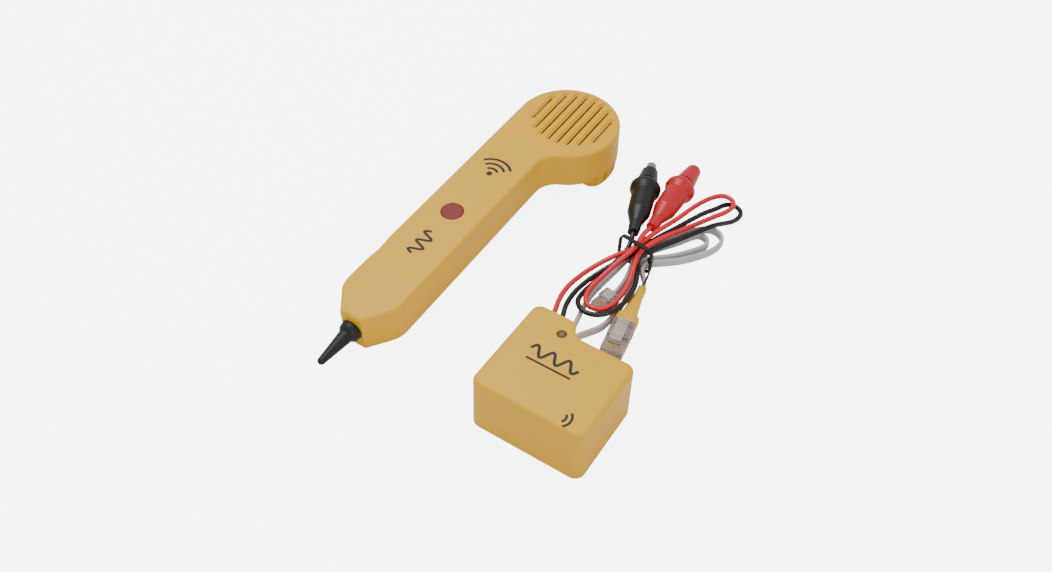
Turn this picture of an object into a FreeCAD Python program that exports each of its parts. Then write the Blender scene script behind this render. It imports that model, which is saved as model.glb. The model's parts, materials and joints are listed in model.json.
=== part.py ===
"""Tone probe kit: a hand-held inductive amplifier probe and the tone generator that goes with it.

The two instruments lie side by side on a table.  Both are cut from the same ideas: a moulded
case, a 9 V battery behind a hinged door, a circuit board, and what the hand or the cable needs.
Every piece is built in its instrument's own frame and then set down on the table.

Row frame: millimetres, +Z up, table at Z = 0.  +Y runs along the probe from its tip to its
speaker, +X runs across from the probe to the generator, and the origin is the middle of the
two instruments' footprint.
"""
import FreeCAD, Part
import math
import os

from FreeCAD import Placement, Rotation, Vector

# ---------------------------------------------------------------- driving dimensions (mm)
# Where the two instruments lie.
PROBE_X = -59.65                # the handle's centre line
PROBE_Y = 89.9485                 # the centre of the round head
GENERATOR_X = 46.85
GENERATOR_Y = -76.90

# Fits used everywhere.
GAP = 0.3                       # between pieces that move past each other
SLIP = 0.05                     # radial clearance of a pin in its hole
MOULD_WALL = 2.0                # wall of both plastic cases
EDGE_ROUND = 2.0                # rounding of the cases' top edges

# Probe body.
HANDLE_W = 35.6
HANDLE_DEPTH = 22.0
HEAD_R = 31.2
BOSS_DROP = 8.0                 # how far the head reaches below the handle
BOSS_INSET = 0.8                # the boss is this much smaller than the head
BOSS_CHORD = 14.0               # the boss stops this far towards the handle
BOSS_CORNER_R = 7.0
NECK_R = 14.0
NOSE_Y = -184.2                 # flat end that carries the tip
NOSE_SHOULDER_Y = -169.0        # where the sides would turn in if they were not rounded
NOSE_SHOULDER_R = 15.0
NOSE_FLAT_W = 13.0
COVER_T = 2.0                   # thickness of the handle's underside

# Grille over the speaker.
GRILLE_X = 1.2                  # from the head's centre
GRILLE_Y = 3.5
GRILLE_R = 24.2
GRILLE_PITCH = 5.9
GRILLE_SLITS = 8
SLIT_W = 1.3
GROOVE_W = 3.4
GROOVE_DEPTH = 0.7
SOUND_SLOT_W = 4.2              # slots in the side of the boss
SOUND_SLOT_H = 7.5
SOUND_SLOT_Z = 2.0
SOUND_SLOT_DEPTH = 1.4
SOUND_SLOT_STEP = 16.5          # degrees
SOUND_SLOTS = 5
SOUND_SLOT_FIRST = -26.0        # degrees from +X

# Button and its switch.
BUTTON_Y = -97.6
BUTTON_R = 6.2
BUTTON_PROUD = 0.25
BUTTON_CAP_T = 2.8
BUTTON_FLANGE_R = 7.3
BUTTON_FLANGE_T = 1.0
BUTTON_TRAVEL = 1.0
BUTTON_STEM_R = 2.0
SWITCH_SIDE = 5.0
SWITCH_H = 4.4
PLUNGER_SIDE = 2.4
PLUNGER_OUT = 1.6               # plunger above the switch body
PLUNGER_IN = 1.0                # plunger inside it

# Volume wheel in the left wall.
WHEEL_Y = -140.0
WHEEL_R = 8.0
WHEEL_T = 4.0
WHEEL_PROUD = 1.0               # beyond the floor of the thumb dimple
WHEEL_NOTCHES = 32
DIMPLE_L = 22.0
DIMPLE_DEPTH = 1.5
POT_R = 5.0
POT_H = 4.4
POT_SHAFT_R = 1.5

# Tip.
TIP_COLLAR_R = 6.0
TIP_COLLAR_L = 5.0
TIP_ROOT_R = 4.0
TIP_END_R = 2.1
TIP_OUT = 25.8                  # from the nose to the end of the tip
TIP_NECK_R = 4.0
TIP_FLANGE_R = 5.2
TIP_FLANGE_T = 1.6
ANTENNA_R = 0.9
ANTENNA_L = 42.0

# Boards.
BOARD_T = 1.6
BOARD_LIFT = 2.2                # pads under the probe's board
PROBE_BOARD_W = 28.0
PROBE_BOARD_FRONT = -161.0
PROBE_BOARD_REAR = -94.4

# Battery, 9 V block, and its snap connector.
BATTERY_L = 48.5
BATTERY_W = 26.5
BATTERY_T = 17.5
BATTERY_ROUND = 2.0
PROBE_BATTERY_Y = -64.4         # its middle
SNAP_T = 3.0
LEAD_STANDOFF = 0.4             # a thin wire ends this far from the board or snap
SNAP_W = 24.0
SNAP_H = 12.0
DOOR_GAP = 0.3
DOOR_T = 2.0
DOOR_PIN_R = 0.6
DOOR_PIN_OUT = 1.2
PROBE_DOOR_W = 28.0
PROBE_DOOR_L = 51.0

# Speaker.
SPEAKER_R = 22.5
SPEAKER_H = 8.0
MAGNET_R = 10.0
MAGNET_H = 6.0
SHEET_T = 0.8                   # pressed basket

# Case screws.
SCREW_HEAD_R = 2.2
SCREW_HEAD_T = 1.2
SCREW_R = 1.2
SCREW_L = 9.0
POST_R = 3.0

# Generator.
GEN_W = 60.4
GEN_L = 49.8
GEN_H = 32.5
GEN_BLOCK_W = 23.4              # the block that the leads leave
GEN_BLOCK_STEP = 8.2
GEN_CORNER_R = 5.0
GEN_HOLLOW_R = 8.0
GEN_DRAFT = 0.4
GEN_EDGE_ROUND = 2.4
GEN_BASE_T = 2.2
GEN_BOARD_Z = 21.6
GEN_BATTERY_Y = -2.2
LED_X = -9.2
LED_Y = 21.9
LED_R = 2.4
GEN_DOOR_W = 50.4
GEN_DOOR_L = 28.4
SLIDER_W = 3.0
SLIDER_H = 2.4
SLIDER_TRAVEL = 3.0             # each way from the middle position
SLIDER_PROUD = 1.2
SLIDER_Z = 25.4

# Leads.
WIRE_R = 1.45
RIBBON_W = 5.0
RIBBON_T = 2.3
LEAD_PLAY = 0.6                 # clearance of a lead in its grommet
EXIT_Z = 13.0
GROMMET_FLANGE = 0.8
GROMMET_WALL = 1.0
GROMMET_OUT = 1.4
RED_EXIT_X = 21.0
BLACK_EXIT_X = 27.6
NETWORK_EXIT_X = 32.8
PHONE_EXIT_X = 35.8
TIE_R = 0.6
TIE_BAND_T = 1.0                # the tie is flattened where it goes round the bundle
TIE_BAND_W = 2.4

# Clips.
CLIP_LIFT = 9.15                # height of a clip's axis above the table
BOOT_NECK_R = 3.2
BOOT_BODY_R = 7.2
BOOT_RIM_R = 9.0
BOOT_WALL = 1.4
BOOT_NECK_L = 8.0
BOOT_BODY_L = 38.0              # collar to rim
BOOT_RIM_T = 2.4
NOSE_WALL = 1.3
RED_NOSE_END = 59.0             # from the collar
BLACK_NOSE_END = 55.0
JAW_END = 61.0
RED_JAW_END = 57.5
JAW_ROOT_R = 4.9
JAW_TIP_R = 2.9
JAW_WALL = 0.7
JAW_HALF_GAP = 0.3
LEVER_REAR = 26.5               # where the levers start, from the collar
LEVER_W = 6.4
LEVER_Z = 3.9                   # inner face of a lever from the axis
CLIP_PIVOT = 42.5               # from the collar
PIN_R = 1.0
EAR_T = 0.6
RED_HEADING = 92.0              # degrees from +X
BLACK_HEADING = 108.0

# Modular plugs: width, length, height.
RJ45_W, RJ45_L, RJ45_H = 11.7, 21.5, 8.0
RJ11_W, RJ11_L, RJ11_H = 9.6, 13.0, 6.6
PLUG_CONTACT_T = 0.35
LATCH_LIFT = 7.0                # degrees
PLUG_BOOT_L = 27.5
NETWORK_PLUG_HEADING = -81.0    # degrees from +X
PHONE_PLUG_HEADING = -101.5

# ------------------------------------------------------------------- routes of the leads
# Points from the generator outwards, in the row frame.

RED_ROUTE = [
    (21.0, -46.0, 13.0), (20.8, -37.5, 12.8), (18.2, -28.0, 11.4), (14.2, -17.0, 9.0),
    (12.6, -5.0, 7.4), (14.6, 7.0, 7.2), (18.8, 18.0, 8.6), (24.6, 27.5, 10.6),
    (30.3, 35.3, 11.3), (31.8, 47.0, 11.0), (34.4, 59.5, 10.0), (37.8, 73.0, 8.6),
    (39.4, 87.0, 6.4), (42.0, 98.0, 5.3), (46.8, 107.4, 5.2), (51.5, 110.0, 5.2),
    (56.4, 108.4, 5.2), (58.8, 103.7, 5.2), (57.3, 96.5, 5.6), (53.8, 88.5, 6.8),
    (49.2, 78.0, 7.5), (43.8, 66.5, 8.2), (38.8, 54.5, 9.7), (35.5, 44.6, 10.9), (33.4, 33.8, 11.4), (36.0, 24.0, 11.0),
    (39.4, 13.0, 9.4), (40.0, 2.0, 8.0), (38.6, -6.5, 7.2), (34.2, -11.6, 7.2),
    (28.2, -12.0, 7.2), (24.2, -7.4, 7.2), (23.2, 0.8, 7.5), (25.0, 9.5, 8.8), (27.8, 21.0, 11.8),
    (30.9, 31.0, 14.3), (30.9, 38.5, 14.7), (29.0, 48.0, 12.8), (28.9, 57.5, CLIP_LIFT)]
BLACK_ROUTE = [
    (27.6, -46.0, 13.0), (26.8, -37.5, 12.4), (23.0, -28.0, 10.2), (18.5, -17.5, 7.2),
    (16.8, -5.0, 5.2), (18.6, 7.0, 5.2), (22.8, 18.0, 6.7), (27.0, 27.0, 8.0),
    (30.3, 35.2, 8.25), (32.8, 45.0, 8.1), (35.6, 56.0, 7.3), (39.6, 67.0, 6.6),
    (43.4, 79.0, 6.0), (46.8, 91.0, 4.2), (49.8, 99.5, 2.0), (52.6, 107.0, 1.6),
    (57.3, 109.2, 1.6), (62.2, 107.4, 1.6), (64.4, 102.7, 1.6), (63.2, 95.6, 2.2), (60.2, 88.6, 4.6),
    (57.0, 81.5, 7.3), (51.9, 72.0, 7.3), (45.8, 59.5, 7.3), (39.4, 47.0, 8.0), (33.4, 33.9, 8.25), (38.3, 24.5, 8.2),
    (43.0, 13.5, 8.2), (44.2, 1.5, 8.2), (41.6, -10.0, 8.0), (35.2, -16.8, 8.2),
    (27.5, -17.3, 8.2), (21.8, -11.8, 6.8), (19.9, -2.0, 3.2), (20.6, 9.0, 1.7),
    (22.0, 20.0, 2.2), (23.6, 29.0, 3.8), (24.8, 36.0, 5.2), (24.6, 42.2, 7.8),
    (22.5, 48.0, CLIP_LIFT)]
NETWORK_ROUTE = [
    (32.8, -46.0, 13.0), (32.4, -37.5, 12.2), (30.2, -28.0, 8.2), (27.0, -18.0, 3.3),
    (24.9, -8.0, 2.7), (24.3, 2.0, 2.7), (25.1, 12.0, 2.7), (26.7, 24.0, 3.3),
    (28.0, 35.2, 4.2), (30.5, 45.0, 3.5), (36.5, 56.0, 2.7), (43.6, 68.0, 2.7),
    (49.4, 76.6, 2.7), (54.6, 81.4, 2.7), (61.0, 81.2, 2.7), (65.4, 76.0, 2.7),
    (64.4, 67.0, 2.7), (58.8, 57.2, 2.7), (51.4, 47.9, 2.7),
    (44.4, 41.0, 3.4), (39.6, 36.6, 3.95), (38.0, 31.6, 3.95), (39.8, 27.2, 4.0), (42.9, 24.2, 4.0), (45.0, 20.9, 4.0), (45.5, 17.2, 4.0)]
PHONE_ROUTE = [
    (35.8, -46.0, 13.0), (36.2, -37.5, 12.0), (38.2, -28.0, 7.4), (40.9, -18.0, 3.2),
    (41.8, -7.0, 2.7), (41.5, 5.0, 2.7), (39.4, 16.0, 2.7), (36.8, 25.0, 3.3),
    (34.4, 31.0, 3.95), (35.4, 36.6, 3.95), (40.0, 41.4, 3.5), (47.3, 49.2, 2.7), (54.6, 58.8, 2.7),
    (59.2, 67.2, 2.7), (58.3, 71.4, 2.7), (54.6, 73.8, 2.7), (50.3, 72.9, 2.7), (45.2, 62.2, 2.7),
    (39.7, 54.3, 2.7), (33.7, 44.0, 3.5), (30.6, 34.8, 4.2), (33.2, 25.0, 3.4),
    (35.2, 14.5, 3.3), (34.6, 5.2, 3.3)]

# The tie goes round the bundle here; its ring is a rounded rectangle across the leads.
TIE_AT = (31.2, 34.6)
TIE_TURN = -9.6                 # degrees
TIE_HALF_W = 10.7
TIE_TOP = 16.6
TIE_CORNER_R = 3.5
TIE_KNOT_R = 1.3
TIE_TAIL = [(40.6, 33.4, 9.8), (42.8, 30.2, 10.4), (44.5, 26.2, 10.6), (45.9, 20.6, 9.8), (46.2, 15.4, 9.3)]

PI2 = 2 * math.pi


# ---------------------------------------------------------------------- building helpers
def box(x0, x1, y0, y1, z0, z1):
    """A block between two corners."""
    return Part.makeBox(x1 - x0, y1 - y0, z1 - z0, Vector(x0, y0, z0))


def rod(radius, start, end):
    """A round bar from one point to another."""
    a, b = Vector(*start), Vector(*end)
    return Part.makeCylinder(radius, (b - a).Length, a, b - a)


def rounded_wire(points, radii, z=0.0):
    """A closed outline in a level plane, each corner turned by an arc of its own radius."""
    corners = [Vector(x, y, z) for x, y in points]
    count = len(corners)
    trims = []
    for i, corner in enumerate(corners):
        back = (corners[i - 1] - corner).normalize()
        ahead = (corners[(i + 1) % count] - corner).normalize()
        half = back.getAngle(ahead) / 2
        cut = radii[i] / math.tan(half)
        middle = (back + ahead).normalize() * (radii[i] / math.sin(half) - radii[i])
        trims.append((corner + back * cut, corner + middle, corner + ahead * cut))
    edges = []
    for i, (start, middle, end) in enumerate(trims):
        if radii[i] > 0:
            edges.append(Part.Arc(start, middle, end).toShape())
        following = trims[(i + 1) % count][0]
        if (following - end).Length > 1e-6:
            edges.append(Part.LineSegment(end, following).toShape())
    return Part.Wire(edges)


def prism(wire, z0, z1):
    """An outline drawn at Z = 0, lifted to z0 and raised to z1."""
    face = Part.Face(wire)
    face.translate(Vector(0, 0, z0))
    return face.extrude(Vector(0, 0, z1 - z0))


def shrunk(wire, inset):
    """The same outline moved inwards, or outwards where inset is negative."""
    return wire.makeOffset2D(-inset)


def turned(profile, origin, axis):
    """A turned solid: profile is (distance along the axis, radius) from end to end."""
    points = [Vector(r, 0, a) for a, r in profile]
    if profile[0][1] > 0:
        points.insert(0, Vector(0, 0, profile[0][0]))
    if profile[-1][1] > 0:
        points.append(Vector(0, 0, profile[-1][0]))
    face = Part.Face(Part.makePolygon(points + [points[0]]))
    solid = face.revolve(Vector(0, 0, 0), Vector(0, 0, 1), 360)
    solid.Placement = Placement(Vector(*origin), Rotation(Vector(0, 0, 1), Vector(*axis)))
    return solid


def round_edges(shape, radius, wanted):
    """Round the edges for which wanted(bounding box) holds."""
    edges = [edge for edge in shape.Edges if wanted(edge.BoundBox)]
    return shape.makeFillet(radius, edges)


def soft_block(x0, x1, y0, y1, z0, z1, radius):
    """A block with its four upright edges rounded."""
    outline = rounded_wire([(x0, y0), (x1, y0), (x1, y1), (x0, y1)], [radius] * 4)
    return prism(outline, z0, z1)


def joined(shapes):
    """Several touching solids as one."""
    whole = shapes[0].multiFuse(shapes[1:]).removeSplitter()
    return whole.Solids[0] if len(whole.Solids) == 1 else whole


def cut(shape, tools):
    """Shape with every tool taken out of it."""
    result = shape.cut(tools)
    return result.Solids[0] if len(result.Solids) == 1 else result


def group(shapes):
    """Separate solids kept in one node."""
    return Part.makeCompound(shapes)


def route_path(points):
    """Straight runs joined by tangent arcs; returns the wire and the arcs' radii."""
    corners = [Vector(*p) for p in points]
    edges, radii = [], []
    last = corners[0]
    for before, corner, after in zip(corners, corners[1:], corners[2:]):
        back, ahead = before - corner, after - corner
        turn = math.pi - back.getAngle(ahead)
        reach = 0.45 * min(back.Length, ahead.Length)
        radius = reach / math.tan(turn / 2)
        back.normalize()
        ahead.normalize()
        start, end = corner + back * reach, corner + ahead * reach
        inward = (back + ahead).normalize()
        middle = corner + inward * (radius / math.cos(turn / 2) - radius)
        edges.append(Part.LineSegment(last, start).toShape())
        edges.append(Part.Arc(start, middle, end).toShape())
        radii.append(radius)
        last = end
    edges.append(Part.LineSegment(last, corners[-1]).toShape())
    return Part.Wire(edges), radii


def first_direction(points):
    return (Vector(*points[1]) - Vector(*points[0])).normalize()


def swept(points, section, upright):
    """A lead: its section carried along the route."""
    path, radii = route_path(points)
    pipe = Part.BRepOffsetAPI.MakePipeShell(path)
    if upright:
        pipe.setBiNormalMode(Vector(0, 0, 1))
    else:
        pipe.setFrenetMode(False)
    pipe.add(section)
    pipe.build()
    pipe.makeSolid()
    return pipe.shape(), path, radii


def round_lead(name, points, radius):
    """A round wire along its route."""
    start = Vector(*points[0])
    ring = Part.Wire(Part.makeCircle(radius, start, first_direction(points)))
    solid, path, radii = swept(points, ring, upright=False)
    report_lead(name, solid, path, radii, math.pi * radius * radius)
    return solid


def flat_lead(name, points, height, thickness):
    """A flat cable standing on its edge along its route."""
    start = Vector(*points[0])
    ahead = first_direction(points)
    side = ahead.cross(Vector(0, 0, 1)).normalize() * (thickness / 2)
    up = Vector(0, 0, height / 2)
    corners = [start + side + up, start - side + up, start - side - up, start + side - up]
    section = Part.makePolygon(corners + [corners[0]])
    solid, path, radii = swept(points, section, upright=True)
    report_lead(name, solid, path, radii, height * thickness)
    return solid


def report_lead(name, solid, path, radii, area):
    ratio = solid.Volume / (area * path.Length)
    print("%s: length %.1f mm, volume/(section x length) %.3f, radii %s" % (
        name, path.Length, ratio, " ".join("%.1f" % r for r in radii)))


# ------------------------------------------------------------------------- shared pieces
def nine_volt_battery():
    """Battery block lying along Y with its terminals at +Y, resting on Z = 0."""
    half = BATTERY_W / 2
    can = round_edges(box(-half, half, -BATTERY_L / 2, BATTERY_L / 2 - 2.2, 0, BATTERY_T),
                      BATTERY_ROUND, lambda b: b.YLength > BATTERY_L / 2)
    end = BATTERY_L / 2 - 2.2
    posts = [rod(3.0, (x, end, BATTERY_T / 2), (x, end + 2.2, BATTERY_T / 2)) for x in (-6.35, 6.35)]
    return joined([can] + posts)


def battery_snap():
    """Snap connector cap that sits on the battery's terminals, in the battery's frame."""
    end = BATTERY_L / 2 - 2.2
    low = (BATTERY_T - SNAP_H) / 2
    cap = soft_block(-SNAP_W / 2, SNAP_W / 2, low, low + SNAP_H, 0, SNAP_T, 2.0)
    cap.rotate(Vector(0, 0, 0), Vector(1, 0, 0), 90)
    cap.translate(Vector(0, end + SNAP_T, 0))
    holes = [rod(3.0, (x, end, BATTERY_T / 2), (x, end + 2.2, BATTERY_T / 2)) for x in (-6.35, 6.35)]
    return cut(cap, holes)


def door_opening(width, length):
    """The hole that a door closes, from Y = 0 (its hinged edge) towards -Y."""
    return box(-width / 2, width / 2, -length, 0, -1, DOOR_T + 1)


def door_pivot():
    """Place of the hinge pins' axis in the door's frame: (Y, Z)."""
    return -DOOR_GAP - DOOR_T / 2, DOOR_T / 2


def door_pin_holes(width):
    """Holes in the case that hold the door's pins."""
    y, z = door_pivot()
    reach = width / 2 + DOOR_PIN_OUT + GAP
    return rod(DOOR_PIN_R + SLIP, (-reach, y, z), (reach, y, z))


def battery_door(width, length):
    """Door with a rounded hinged edge, two pins and a ribbed thumb pad."""
    half = width / 2 - DOOR_GAP
    y, z = door_pivot()
    plate = box(-half, half, -length + DOOR_GAP, y, 0, DOOR_T)
    edge = rod(DOOR_T / 2, (-half, y, z), (half, y, z))
    reach = half + DOOR_GAP + DOOR_PIN_OUT
    pins = rod(DOOR_PIN_R, (-reach, y, z), (reach, y, z))
    grooves = [box(-7, 7, -length + 5 + 2.4 * i, -length + 6 + 2.4 * i, -1, 0.5) for i in range(4)]
    return cut(joined([plate, edge, pins]), grooves)


def case_screw(x, y, head_z):
    """Pan-head screw driven upwards, its head's underside at head_z."""
    head = rod(SCREW_HEAD_R, (x, y, head_z - SCREW_HEAD_T), (x, y, head_z))
    shank = rod(SCREW_R, (x, y, head_z), (x, y, head_z + SCREW_L))
    slot_a = box(x - 1.3, x + 1.3, y - 0.25, y + 0.25, head_z - SCREW_HEAD_T - 1, head_z - 0.6)
    slot_b = box(x - 0.25, x + 0.25, y - 1.3, y + 1.3, head_z - SCREW_HEAD_T - 1, head_z - 0.6)
    return cut(joined([head, shank]), [slot_a, slot_b])


# ------------------------------------------------------------------------------ the probe
# Probe frame: X across, Y along the handle, Z out of the grille; the boss's foot is at Z = 0
# and the head's centre at Y = 0.
HANDLE_HALF = HANDLE_W / 2
HEAD_X = HEAD_R - HANDLE_HALF
UNDER_Z = BOSS_DROP
SEAM_Z = UNDER_Z + COVER_T
TOP_Z = UNDER_Z + HANDLE_DEPTH
ROOF_Z = TOP_Z - MOULD_WALL
MID_Z = (UNDER_Z + TOP_Z) / 2 + 0.5
PROBE_BOARD_Z = SEAM_Z + BOARD_LIFT
PROBE_BOARD_TOP = PROBE_BOARD_Z + BOARD_T
PROBE_TILT = math.degrees(math.atan2(BOSS_DROP, -NOSE_Y - BOSS_CHORD))
PROBE_LIFT = BOSS_CHORD * math.sin(math.radians(PROBE_TILT))
PROBE_POSTS = [(-10.5, -168.0), (10.5, -168.0), (-11.5, -29.0), (12.5, -29.0)]
WHEEL_X = -HANDLE_HALF + DIMPLE_DEPTH - WHEEL_PROUD + WHEEL_R
WHEEL_Z = PROBE_BOARD_TOP + POT_H + 0.6
PROBE_DOOR_Y = PROBE_BATTERY_Y + PROBE_DOOR_L / 2


def probe_outline():
    """Round head, straight handle, concave neck and tapering nose."""
    neck_x = HANDLE_HALF + NECK_R
    neck_y = -math.sqrt((HEAD_R + NECK_R) ** 2 - (neck_x - HEAD_X) ** 2)
    to_neck = Vector(neck_x - HEAD_X, neck_y, 0).normalize()
    head = Vector(HEAD_X, 0, 0)
    leave = head + to_neck * HEAD_R
    neck = Vector(neck_x, neck_y, 0)
    meet = Vector(HANDLE_HALF, neck_y, 0)
    bend = (leave + meet) * 0.5 - neck
    half_flat = NOSE_FLAT_W / 2
    side = Vector(0, 1, 0)
    slope = Vector(HANDLE_HALF - half_flat, NOSE_SHOULDER_Y - NOSE_Y, 0).normalize()
    corner = Vector(HANDLE_HALF, NOSE_SHOULDER_Y, 0)
    half = (side.getAngle(slope * -1)) / 2
    reach = NOSE_SHOULDER_R / math.tan(half)
    inward = (side - slope).normalize()
    bulge = corner + inward * (NOSE_SHOULDER_R / math.sin(half) - NOSE_SHOULDER_R)
    high, low = corner + side * reach, corner - slope * reach
    flat = Vector(half_flat, NOSE_Y, 0)

    def mirror(p):
        return Vector(-p.x, p.y, p.z)

    left = Vector(-HANDLE_HALF, 0, 0)
    return Part.Wire([
        Part.Arc(left, head + Vector(0, HEAD_R, 0), leave).toShape(),
        Part.Arc(leave, neck + bend.normalize() * NECK_R, meet).toShape(),
        Part.LineSegment(meet, high).toShape(),
        Part.Arc(high, bulge, low).toShape(),
        Part.LineSegment(low, flat).toShape(),
        Part.LineSegment(flat, mirror(flat)).toShape(),
        Part.LineSegment(mirror(flat), mirror(low)).toShape(),
        Part.Arc(mirror(low), mirror(bulge), mirror(high)).toShape(),
        Part.LineSegment(mirror(high), left).toShape()])


def boss_outline(inset):
    """The part of the head's circle that reaches down to the table."""
    radius = HEAD_R - BOSS_INSET - inset
    disc = Part.Face(Part.Wire(Part.makeCircle(radius, Vector(HEAD_X, 0, 0))))
    far = HEAD_R + 1
    keep = Part.Face(Part.makePolygon([
        Vector(HEAD_X - far, -BOSS_CHORD + inset, 0), Vector(HEAD_X + far, -BOSS_CHORD + inset, 0),
        Vector(HEAD_X + far, far, 0), Vector(HEAD_X - far, far, 0),
        Vector(HEAD_X - far, -BOSS_CHORD + inset, 0)]))
    return disc.common(keep).Faces[0]


def boss_solid(inset, z0, z1):
    """The boss as a block with rounded corners at its flat side."""
    face = boss_outline(inset)
    face.translate(Vector(0, 0, z0))
    block = face.extrude(Vector(0, 0, z1 - z0))
    return round_edges(block, max(BOSS_CORNER_R - inset, 1.0),
                       lambda b: b.ZLength > (z1 - z0) / 2 and b.YMax < -BOSS_CHORD + inset + 1)


def probe_top_shell():
    """Deep upper shell: side walls, top, grille, dimple, and the screw posts inside."""
    outline = probe_outline()
    body = prism(outline, SEAM_Z, TOP_Z)
    body = round_edges(body, EDGE_ROUND, lambda b: b.ZMin > TOP_Z - 0.01)
    shell = body.cut(prism(shrunk(outline, MOULD_WALL), SEAM_Z, ROOF_Z))
    posts = [rod(POST_R, (x, y, SEAM_Z), (x, y, ROOF_Z + 0.5)) for x, y in PROBE_POSTS]
    shell = joined([shell] + posts)
    tools = [rod(SCREW_R, (x, y, SEAM_Z - 1), (x, y, SEAM_Z + SCREW_L + 1)) for x, y in PROBE_POSTS]
    tools += grille_cuts()
    tools.append(rod(BUTTON_R + GAP, (0, BUTTON_Y, ROOF_Z - 1), (0, BUTTON_Y, TOP_Z + 1)))
    tools.append(rod(TIP_NECK_R, (0, NOSE_Y - 1, MID_Z), (0, NOSE_Y + MOULD_WALL + 1, MID_Z)))
    scoop_r = (DIMPLE_L ** 2 / 4 + DIMPLE_DEPTH ** 2) / (2 * DIMPLE_DEPTH)
    scoop_x = -HANDLE_HALF + DIMPLE_DEPTH - scoop_r
    tools.append(rod(scoop_r, (scoop_x, WHEEL_Y, SEAM_Z + 2), (scoop_x, WHEEL_Y, TOP_Z + 1)))
    shell = cut(shell, tools)
    backing = box(-HANDLE_HALF + DIMPLE_DEPTH, -HANDLE_HALF + DIMPLE_DEPTH + 1.2,
                  WHEEL_Y - DIMPLE_L / 2, WHEEL_Y + DIMPLE_L / 2, SEAM_Z + 1, ROOF_Z + 0.3)
    shell = joined([shell, backing])
    window = rod(WHEEL_R + 0.5, (WHEEL_X, WHEEL_Y, WHEEL_Z - GAP), (WHEEL_X, WHEEL_Y, WHEEL_Z + WHEEL_T + GAP))
    return cut(shell, [window])


def grille_cuts():
    """Slits through the roof, each at the bottom of a wider groove."""
    cx, cy = HEAD_X + GRILLE_X, GRILLE_Y
    tools = []
    for i in range(GRILLE_SLITS):
        x = (i - (GRILLE_SLITS - 1) / 2) * GRILLE_PITCH
        half = math.sqrt(GRILLE_R ** 2 - x ** 2)
        groove = GROOVE_W / 2
        slit = SLIT_W / 2
        tools.append(soft_block(cx + x - groove, cx + x + groove, cy - half, cy + half,
                                TOP_Z - GROOVE_DEPTH, TOP_Z + 1, groove * 0.98))
        end = half - groove
        tools.append(soft_block(cx + x - slit, cx + x + slit, cy - end, cy + end,
                                ROOF_Z - 1, TOP_Z + 1, slit * 0.9))
    return tools


def probe_bottom_shell():
    """Flat cover with a locating lip, the hollow boss, its sound slots and the board pads."""
    outline = probe_outline()
    plate = prism(outline, UNDER_Z, SEAM_Z)
    rim = shrunk(outline, MOULD_WALL + 0.15)
    lip = prism(rim, SEAM_Z, SEAM_Z + 1.6).cut(prism(shrunk(outline, MOULD_WALL + 1.25), SEAM_Z, SEAM_Z + 1.6))
    wheel_room = box(-HANDLE_HALF, 0, WHEEL_Y - DIMPLE_L / 2 - 1, WHEEL_Y + DIMPLE_L / 2 + 1,
                     SEAM_Z, SEAM_Z + 2)
    lip = lip.cut(wheel_room)
    boss = boss_solid(0, 0, SEAM_Z)
    boss = round_edges(boss, 1.6, lambda b: b.ZMax < 0.01)
    pads = [box(x - 2, x + 2, y - 2, y + 2, SEAM_Z, PROBE_BOARD_Z)
            for x in (-11.0, 11.0) for y in (PROBE_BOARD_FRONT + 4, PROBE_BOARD_REAR - 4)]
    shell = joined([plate, boss] + pads + lip.Solids)
    tools = [boss_solid(MOULD_WALL, MOULD_WALL, SEAM_Z + 0.5)]
    for x, y in PROBE_POSTS:
        tools.append(rod(SCREW_R + 0.2, (x, y, 0), (x, y, SEAM_Z + 3)))
        tools.append(rod(SCREW_HEAD_R + 0.1, (x, y, 0), (x, y, UNDER_Z + SCREW_HEAD_T)))
        tools.append(rod(POST_R + 0.15, (x, y, SEAM_Z), (x, y, SEAM_Z + 3)))
    for i in range(SOUND_SLOTS):
        slot = box(HEAD_R - BOSS_INSET - SOUND_SLOT_DEPTH, HEAD_R + 2,
                   -SOUND_SLOT_W / 2, SOUND_SLOT_W / 2, SOUND_SLOT_Z, SOUND_SLOT_Z + SOUND_SLOT_H)
        slot.rotate(Vector(0, 0, 0), Vector(0, 0, 1), SOUND_SLOT_FIRST + SOUND_SLOT_STEP * i)
        slot.translate(Vector(HEAD_X, 0, 0))
        tools.append(slot)
    opening = door_opening(PROBE_DOOR_W, PROBE_DOOR_L)
    opening.translate(Vector(0, PROBE_DOOR_Y, UNDER_Z))
    holes = door_pin_holes(PROBE_DOOR_W)
    holes.translate(Vector(0, PROBE_DOOR_Y, UNDER_Z))
    return cut(shell, tools + [opening, holes])


def probe_battery_door():
    door = battery_door(PROBE_DOOR_W, PROBE_DOOR_L)
    door.translate(Vector(0, PROBE_DOOR_Y, UNDER_Z))
    return door


def probe_battery():
    block = nine_volt_battery()
    block.translate(Vector(0, PROBE_BATTERY_Y, SEAM_Z + 0.25))
    return block


def probe_battery_snap():
    cap = battery_snap()
    cap.translate(Vector(0, PROBE_BATTERY_Y, SEAM_Z + 0.25))
    return cap


def probe_snap_leads():
    """Two thin wires from the snap back to the board, beside the battery."""
    y0 = PROBE_BATTERY_Y + BATTERY_L / 2 - 2.2 + SNAP_T + LEAD_STANDOFF
    x1 = BATTERY_W / 2 + 1.0
    leads = []
    for i, z in enumerate((17.0, 20.0)):
        points = [(6.0 + 2 * i, y0, z), (9.0 + 2 * i, y0 + 2.5, z), (x1 - 0.6, y0 - 0.5 + 2 * i, z),
                  (x1, y0 - 9, z), (x1, y0 - 24.0, z + 0.4), (x1, -86.0, z),
                  (x1 - 0.4, -95.0, z - 0.6), (11.5 - 3 * i, -100.0 - i, 17.0),
                  (10.5 - 3 * i, -101.5 - 2 * i, PROBE_BOARD_TOP + LEAD_STANDOFF)]
        leads.append(thin_wire(points))
    return group(leads)


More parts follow.
